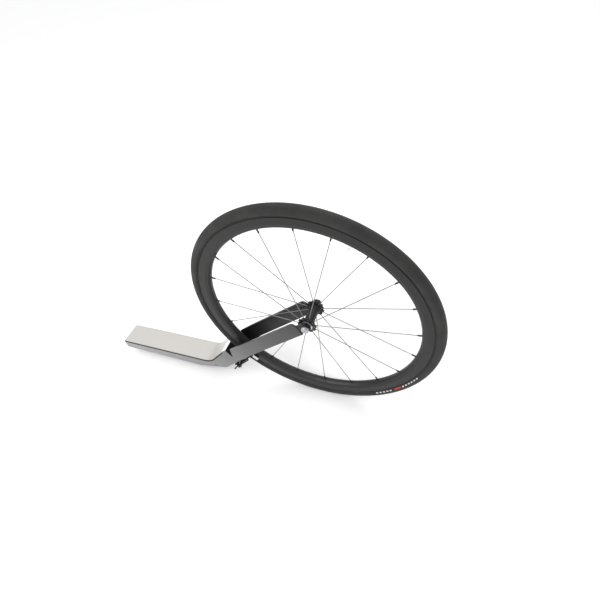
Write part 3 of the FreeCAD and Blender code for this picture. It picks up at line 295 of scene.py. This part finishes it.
# Carbon without lacquer, with a near-black colour that is painted shade for the faces between the blades.
bare_carbon_painted_shade = carbon_look("BareCarbonPaintedShade", [(0.1, grey(0.012)), (0.8, grey(0.02))], 0.28, 0.5, 0.0, 0.35)
print("made", carbon.name, bare_carbon_painted_shade.name)

# %% [markdown]
# ## Metals and anodising
# Bare metal has metallic 1 and shows its colour in its reflections. Anodised black keeps some metal shine
# under a dark oxide. Stretching the noise along one axis draws it out into brush marks.

# %% Metals
def metal(name, color, low, high, stretch=(1, 1, 1), scale=60.0, metallic=1.0, marks=0.05, shine=0.5):
    made = surface(name, color, (low + high) / 2, metallic, shine=shine)
    where = place_on(made, stretch=stretch)
    mottle(made, where, scale, low, high)
    grain = noise(made, where, scale * 6, 6.0)
    dark = tuple(c * 0.86 for c in color)
    wire(made, ramp(made, grain, [(0.35, dark), (0.65, color)]), shader_of(made).inputs["Base Color"])
    wire(made, bump(made, grain, marks, 0.0003), shader_of(made).inputs["Normal"])
    return made


plate_metal = metal("DeckPlate", (0.571, 0.552, 0.524), 0.30, 0.42, (1.5, 30, 30), 30.0, 0.35)
silver = metal("PolishedAlloy", (0.90, 0.90, 0.90), 0.16, 0.28, (1, 1, 1), 90.0, 0.8)
raw_alloy = metal("MachinedAlloy", (0.74, 0.74, 0.75), 0.26, 0.38, (1, 20, 20), 60.0, 0.8)
steel = metal("StainlessSteel", (0.62, 0.62, 0.62), 0.18, 0.32, (1, 1, 1), 120.0)
spoke_steel = metal("SpokeSteel", (0.19, 0.19, 0.187), 0.22, 0.34, (1, 1, 1), 200.0, 0.6)
black_alloy = metal("BlackAnodised", (0.018, 0.018, 0.019), 0.28, 0.42, (1, 1, 1), 80.0, 0.4, shine=0.35)
rim_alloy = metal("RimAnodised", (0.022, 0.0215, 0.021), 0.34, 0.46, (1, 1, 1), 80.0, 0.3, shine=0.35)
black_steel = metal("BlackOxide", (0.022, 0.022, 0.023), 0.35, 0.5, (1, 1, 1), 110.0, 0.5, shine=0.35)
print("made", [m.name for m in (plate_metal, silver, raw_alloy, steel, spoke_steel, black_alloy, rim_alloy)])

# %% [markdown]
# ## Rubber and fabric
# Rubber is rough and slightly dusty: the noise lifts its colour a little in patches. The cloth rim tape has
# one wave for its threads.

# %% Rubber and tape
def rubber(name, color, dust, low, high, grain_scale=500.0):
    made = surface(name, color, (low + high) / 2, shine=0.3)
    where = place_on(made)
    wire(made, ramp(made, noise(made, where, 18.0, 6.0), [(0.35, color), (0.75, dust)]),
         shader_of(made).inputs["Base Color"])
    mottle(made, where, 40.0, low, high)
    grain = noise(made, where, grain_scale, 2.0)
    wire(made, bump(made, grain, 0.18, 0.0004), shader_of(made).inputs["Normal"])
    return made


seal_rubber = rubber("SealRubber", (0.008, 0.008, 0.008), (0.014, 0.014, 0.014), 0.5, 0.65)
pad_rubber = rubber("PadRubber", (0.016, 0.016, 0.017), (0.03, 0.03, 0.03), 0.6, 0.75)
tape_cloth = surface("RimTape", (0.10, 0.11, 0.15), 0.8)
threads = add(tape_cloth, "ShaderNodeTexWave", Scale=700.0, Distortion=1.0)
wire(tape_cloth, place_on(tape_cloth), threads.inputs["Vector"])
tape_shades = [(0.2, (0.07, 0.08, 0.12)), (0.8, (0.14, 0.15, 0.19))]
tape_color = ramp(tape_cloth, threads.outputs["Fac"], tape_shades)
wire(tape_cloth, tape_color, shader_of(tape_cloth).inputs["Base Color"])
tape_bump = bump(tape_cloth, threads.outputs["Fac"], 0.3, 0.0003)
wire(tape_cloth, tape_bump, shader_of(tape_cloth).inputs["Normal"])
print("made", seal_rubber.name, pad_rubber.name, tape_cloth.name)

# %% [markdown]
# ## A material for every CAD part
# Each part gets its material by name. Shading smooth by angle keeps real edges crisp and round faces round.

# %% Assign materials
LOOKS = {
    carbon: ["carbon_frame"],
    plate_metal: ["deck_plate"],
    silver: ["dust_rings", "brake_nut", "pad_bolt_left", "pad_bolt_right", "brake_spacer",
             "valve_nut", "crown_cover", "valve_cap"],
    raw_alloy: ["mount_block", "valve_stem", "pad_holder_left", "pad_holder_right"],
    spoke_steel: ["spokes_left", "spokes_right"],
    steel: ["skewer_rod", "bearing_balls", "bearing_inner_races", "bearing_outer_races",
            "brake_bolt", "side_pivot",
            "cable_anchor"],
    rim_alloy: ["rim"],
    black_alloy: ["hub_shell", "end_cap_left", "end_cap_right", "hub_axle", "dropout_left", "dropout_right",
                  "cam_housing", "skewer_lever", "brake_arm_left", "brake_arm_right", "release_lever",
                  "barrel_adjuster"],
    black_steel: ["nipples_left", "nipples_right", "brake_bracket"],
    seal_rubber: ["deck_gasket", "side_plugs", "inner_tube"],
    pad_rubber: ["brake_pad_left", "brake_pad_right"],
    tape_cloth: ["rim_tape"],
}
given = set()
for look, names in LOOKS.items():
    for name in names:
        mesh = nodes[name].data
        mesh.materials.clear()
        mesh.materials.append(look)
        mesh.shade_smooth()
        mesh.set_sharp_from_angle(angle=math.radians(32))
        given.add(name)
print("parts that get a finer mesh further on:", sorted(set(nodes) - given))

# %% [markdown]
# ## Painted shade on the bare insides of the blades
# One mesh can carry several materials; each face stores the index of its own. The faces that look across
# the wheel's space are found by their normals and their distance from the axle.

# %% Painted shade on the bare carbon between the blades
shell = nodes["carbon_frame"].data
shell.materials.append(bare_carbon_painted_shade)
count = 0
for face in shell.polygons:
    from_axle = (Vector((face.center.x, 0, face.center.z)) - AXLE).length
    inward = math.copysign(1, face.center.y) * face.normal.y < -0.5
    to_axle = Vector((AXLE.x - face.center.x, 0, AXLE.z - face.center.z)).normalized()
    crown_wall = face.normal.dot(to_axle) > 0.8 and from_axle > TYRE_R + 0.008
    # The faces between the blades and the crown wall facing the tyre get the near-black painted shade, where
    # the wheel and the near blade shade them.
    if (inward or crown_wall) and from_axle < TYRE_R + 0.016:
        face.material_index = 1
        count += 1
print("bare faces:", count)

# %% [markdown]
# ## Small bevels on machined and moulded edges
# No real edge is perfectly sharp, and a thin bright line along it is what the eye reads as "solid". The
# bevel modifier works on edges above a chosen angle, so the CAD mesh itself stays as it is.

# %% Bevels
EDGES = {"carbon_frame": 0.0009, "deck_plate": 0.0004, "rim": 0.0003, "hub_shell": 0.00035,
         "dropout_left": 0.0006, "dropout_right": 0.0006, "cam_housing": 0.0005,
         "skewer_lever": 0.0007, "brake_arm_left": 0.0008, "brake_arm_right": 0.0008, "brake_bracket": 0.0005,
         "brake_nut": 0.0004, "end_cap_left": 0.0003, "end_cap_right": 0.0003, "barrel_adjuster": 0.0004,
         "release_lever": 0.0004, "mount_block": 0.0005, "dust_rings": 0.0003, "crown_cover": 0.0003}
for name, width in EDGES.items():
    edge = nodes[name].modifiers.new("Edges", "BEVEL")
    edge.width = width
    edge.segments = 2
    edge.limit_method = "ANGLE"
    edge.angle_limit = math.radians(38)
print("bevelled", len(EDGES), "parts")

# %% [markdown]
# ## Turned shapes
# A turned shape is a flat outline spun round an axle. In a mesh that is a grid: one column of points per
# step, joined to the next column by quads, the last column joined to the first. The UV map stores the turn
# in U and the place across the wheel in V, so that a material can count round the wheel.

# %% Turning helper
def turned(name, outline, steps, material, grip=None):
    """Spin a closed outline of (across, radius) points round the axle; grip gives each step its own shift."""
    work = bmesh.new()
    rows = []
    for i in range(steps):
        turn = 2 * math.pi * i / steps
        row = []
        for j, (across, radius) in enumerate(outline):
            reach = radius + (grip(i, j) if grip else 0.0)
            spoke = Vector((reach * math.cos(turn), across, reach * math.sin(turn)))
            row.append(work.verts.new(AXLE + spoke))
        rows.append(row)
    chart = work.loops.layers.uv.new("UVMap")
    size = len(outline)
    for i in range(steps):
        for j in range(size):
            k = (j + 1) % size
            ahead = rows[(i + 1) % steps]
            cell = work.faces.new((rows[i][j], ahead[j], ahead[k], rows[i][k]))
            for loop, (step, spot) in zip(cell.loops, ((i, j), (i + 1, j), (i + 1, k), (i, k))):
                loop[chart].uv = (step / steps, 0.5 + outline[spot][0] / 0.04)
    bmesh.ops.recalc_face_normals(work, faces=work.faces)
    return to_object(name, work, material)


def to_object(name, work, material):
    mesh = bpy.data.meshes.new(name)
    work.to_mesh(mesh)
    work.free()
    mesh.materials.append(material)
    mesh.shade_smooth()
    mesh.set_sharp_from_angle(angle=math.radians(32))
    made = bpy.data.objects.new(name, mesh)
    scene.collection.objects.link(made)
    return made


print("turning helper ready")

# %% [markdown]
# ## Tyre rubber with a file tread
# A road tyre runs on a smooth centre band. Beside it, the shoulders carry rows of small dots. Modelling
# thousands of dots would be slow, so they are bump: one sine counts round the wheel and one counts across it,
# and their product is a chequer of soft dots, kept to the shoulders by a mask.

# %% Tyre material
tyre_rubber = rubber("TyreRubber", (0.020, 0.020, 0.0195), (0.034, 0.033, 0.032), 0.55, 0.72)
chart = add(tyre_rubber, "ShaderNodeSeparateXYZ")
wire(tyre_rubber, place_on(tyre_rubber, "UV"), chart.inputs["Vector"])
around = maths(tyre_rubber, "SINE", maths(tyre_rubber, "MULTIPLY", chart.outputs["X"], 2 * math.pi * 620))
across = maths(tyre_rubber, "SINE", maths(tyre_rubber, "MULTIPLY", chart.outputs["Y"], 2 * math.pi * 17))
off_middle = maths(tyre_rubber, "ABSOLUTE", maths(tyre_rubber, "SUBTRACT", chart.outputs["Y"], 0.5))
shoulder = maths(tyre_rubber, "MULTIPLY", maths(tyre_rubber, "GREATER_THAN", off_middle, 0.17),
                 maths(tyre_rubber, "LESS_THAN", off_middle, 0.36))
dots = maths(tyre_rubber, "MULTIPLY", maths(tyre_rubber, "MULTIPLY", around, across), shoulder)
grain = shader_of(tyre_rubber).inputs["Normal"].links[0].from_socket
wire(tyre_rubber, bump(tyre_rubber, dots, 0.6, 0.0008, grain), shader_of(tyre_rubber).inputs["Normal"])
print("dots round the tyre:", 620)

# %% [markdown]
# ## Tyre
# The tyre is a hollow carcass, open towards the rim. Its outline runs from one bead over the tread to the
# other bead and back along the inside. Three thin ribs on each sidewall and a step beside the centre band are
# part of the outline, so they catch real light.

# %% Tyre
RIM_HOOK = 0.0016
BEAD = RIM_HALF - RIM_HOOK
MID = TYRE_R - TYRE_HALF
WALL_LOW = RIM_R + 0.002
WALL = 0.0024
BEAD_SEAT = RIM_R - 0.0053


def carcass(half, low, top_lift, count, ribs):
    """Half outline of the tyre, from the middle of the tread down to the bead."""
    points = []
    for i in range(count + 1):
        angle = math.pi / 2 * (1 - i / count)
        swell = half + (0.00022 if ribs and i in (9, 10) else 0.0)
        points.append((swell * math.cos(angle), MID + (TYRE_HALF - top_lift) * math.sin(angle)))
    drop = MID - low
    for i in range(1, 13):
        t = i / 12
        edge = BEAD - (TYRE_HALF - half)
        y = edge + (half - edge) * math.cos(math.pi / 2 * t)
        rib = 0.0003 if ribs and i in (4, 6, 9) else 0.0
        points.append((y + rib, MID - drop * t))
    return points


outer = carcass(TYRE_HALF - 0.0003, WALL_LOW, 0.0, 14, True)
inner = carcass(TYRE_HALF - WALL, WALL_LOW, WALL, 10, False)
bead_out = [(BEAD, RIM_R), (BEAD, BEAD_SEAT)]
bead_in = [(BEAD - 0.003, BEAD_SEAT), (BEAD - WALL, RIM_R - 0.0015)]
outline = ([(-y, r) for y, r in outer[:0:-1]] + outer + bead_out + bead_in + inner[::-1]
           + [(-y, r) for y, r in inner[1:]] + [(-y, r) for y, r in bead_in[::-1]]
           + [(-y, r) for y, r in bead_out[::-1]])
tyre = turned("TyreCarcass", outline, 240, tyre_rubber)
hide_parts("tyre")
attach(tyre, "wheel")
print("tyre points:", len(tyre.data.vertices), "radius", round(max(r for _, r in outline), 4))

# %% [markdown]
# ## Plain marks on the sidewall
# Tyres carry printed bands. Ours are plain blocks without letters. Each is a thin patch that follows the
# sidewall's curve, from a tenth to under half a millimetre above it, so that it has a thickness of its own.

# %% Sidewall marks
white_print = surface("WhitePrint", (0.62, 0.62, 0.60), 0.6)
mottle(white_print, place_on(white_print), 300.0, 0.5, 0.7)
wire(white_print, ramp(white_print, noise(white_print, place_on(white_print), 900.0),
                       [(0.35, grey(0.42)), (0.6, grey(0.64))]), shader_of(white_print).inputs["Base Color"])
red_print = surface("RedPrint", (0.42, 0.03, 0.025), 0.6)
mottle(red_print, place_on(red_print), 300.0, 0.5, 0.7)
wire(red_print, ramp(red_print, noise(red_print, place_on(red_print), 900.0),
                     [(0.35, (0.30, 0.02, 0.02)), (0.6, (0.45, 0.03, 0.025))]),
     shader_of(red_print).inputs["Base Color"])


def sidewall(drop, lift):
    """Point on the near sidewall, a share of the way from the widest place to the bead."""
    y = BEAD + (TYRE_HALF - BEAD) * math.cos(math.pi / 2 * drop)
    return -(y + lift), MID - (MID - WALL_LOW) * drop


def print_mark(name, start, length, top, low, material):
    work = bmesh.new()
    cols = max(2, int(length * 2) + 2)
    rows = 4
    grid = {}
    for layer, lift in enumerate((0.0001, 0.00045)):
        for i in range(cols):
            turn = math.radians(start + length * i / (cols - 1))
            for j in range(rows):
                y, radius = sidewall(top + (low - top) * j / (rows - 1), lift)
                spot = AXLE + Vector((radius * math.cos(turn), y, radius * math.sin(turn)))
                grid[layer, i, j] = work.verts.new(spot)
    for i in range(cols - 1):
        for j in range(rows - 1):
            for layer in (0, 1):
                work.faces.new([grid[layer, i + a, j + b] for a, b in ((0, 0), (1, 0), (1, 1), (0, 1))])
    rim_line = ([(i, 0) for i in range(cols)] + [(cols - 1, j) for j in range(1, rows)]
                + [(i, rows - 1) for i in range(cols - 2, -1, -1)] + [(0, j) for j in range(rows - 2, 0, -1)])
    for a, b in zip(rim_line, rim_line[1:] + rim_line[:1]):
        work.faces.new((grid[0, a[0], a[1]], grid[0, b[0], b[1]], grid[1, b[0], b[1]], grid[1, a[0], a[1]]))
    bmesh.ops.recalc_face_normals(work, faces=work.faces)
    mark = to_object(name, work, material)
    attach(mark, "wheel")
    return mark


MARKS = [(-58.0 + 2.2 * i, 1.2, 0.30, 0.62, white_print) for i in range(5)]
MARKS += [(-46.0, 4.5, 0.24, 0.70, red_print)]
MARKS += [(-40.5 + 2.2 * i, 1.2, 0.30, 0.62, white_print) for i in range(6)]
for i, (start, length, top, low, material) in enumerate(MARKS):
    print_mark("SidewallMark%02d" % i, start, length, top, low, material)
print("marks:", len(MARKS))

# %% [markdown]
# ## Coil springs
# A spring is a wire swept along a helix. At every step the helix has a direction; two more directions square
# to it carry a small ring of points. The quick release has two flattened cones; the brake has a straight
# coil.

# %% Springs
def coil(name, middle, axis, wide, narrow, length, turns, wire_r, material):
    axis = Vector(axis).normalized()
    side = axis.orthogonal().normalized()
    other = axis.cross(side)
    steps = int(turns * 28)
    centre = []
    for i in range(steps + 1):
        t = i / steps
        radius = wide + (narrow - wide) * t - wire_r
        angle = 2 * math.pi * turns * t
        centre.append(middle + axis * (length - 2 * wire_r) * (t - 0.5)
                      + (side * math.cos(angle) + other * math.sin(angle)) * radius)
    work = bmesh.new()
    rings = []
    for i, spot in enumerate(centre):
        ahead = (centre[min(i + 1, steps)] - centre[max(i - 1, 0)]).normalized()
        flat = axis.cross(ahead).normalized()
        lift = ahead.cross(flat)
        rings.append([work.verts.new(spot + (flat * math.cos(a) + lift * math.sin(a)) * wire_r)
                      for a in (2 * math.pi * k / 10 for k in range(10))])
    for a, b in zip(rings, rings[1:]):
        for k in range(10):
            work.faces.new((a[k], a[(k + 1) % 10], b[(k + 1) % 10], b[k]))
    work.faces.new(rings[0][::-1])
    work.faces.new(rings[-1])
    bmesh.ops.recalc_face_normals(work, faces=work.faces)
    return to_object(name, work, material)


def middle_of(name):
    low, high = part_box(name)
    return (low + high) / 2, high - low


CONES = (("skewer_spring_left", "axle", (0, -1, 0)), ("skewer_spring_right", "skewer", (0, 1, 0)))
for name, body, axis in CONES:
    place, span = middle_of(name)
    spring = coil("Cone_" + name, place, axis, span.x / 2, span.x / 2 - 0.0016, span.y, 3.0, 0.00035, steel)
    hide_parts(name)
    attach(spring, body)
BRAKE_AXIS = (0.723, 0, 0.691)
COIL_LENGTH = 0.0070
place, span = middle_of("return_spring")
spring = coil("ReturnCoil", place, BRAKE_AXIS, span.y / 2, span.y / 2, COIL_LENGTH, 4.5, 0.0007, black_steel)
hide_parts("return_spring")
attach(spring, "frame")

# %% [markdown]
# ## Quick-release nut
# The adjusting nut is turned alloy with a knurled edge to grip. The knurl is cut by moving every second
# column of points inwards. A shallow cup in the middle of its face shows the end of the rod.

# %% Knurled nut
nut_low, nut_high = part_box("skewer_nut")
NUT_R = (nut_high.x - nut_low.x) / 2
FACE = nut_low.y
INNER = nut_high.y
nut_outline = [(FACE + 0.0026, 0.0009), (FACE + 0.0026, 0.0019), (FACE + 0.0006, 0.0022),
               (FACE + 0.0003, 0.0058),
               (FACE, 0.0064), (FACE, NUT_R - 0.0014), (FACE + 0.0007, NUT_R - 0.0005),
               (FACE + 0.0012, NUT_R), (INNER - 0.0024, NUT_R), (INNER - 0.0018, NUT_R - 0.0006),
               (INNER - 0.0002, NUT_R - 0.0012), (INNER, NUT_R - 0.0016), (INNER, 0.0027),
               (INNER - 0.0005, 0.0026),
               (FACE + 0.0030, 0.0026), (FACE + 0.0030, 0.0009)]
nut_alloy = metal("TurnedAlloy", (0.45, 0.45, 0.46), 0.20, 0.32, (30, 1, 30), 60.0, 0.85)
nut = turned("KnurledNut", nut_outline, 128, nut_alloy,
             lambda i, j: -0.00035 if i % 2 and j in (7, 8) else 0.0)
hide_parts("skewer_nut")
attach(nut, "nut")
print("nut radius", round(NUT_R, 4), "points", len(nut.data.vertices))

# %% [markdown]
# ## Floor material
# A matt white, barely uneven, so that the object stays the subject.

# %% Floor material
paper = surface("Paper", (0.95, 0.95, 0.95), 0.9)
wire(paper, ramp(paper, noise(paper, place_on(paper), 3.0), [(0.3, grey(0.945)), (0.7, grey(0.955))]),
     shader_of(paper).inputs["Base Color"])
floor.data.materials.append(paper)
print("floor at z", round(FLOOR_Z, 4))

# %% Finish
low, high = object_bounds()
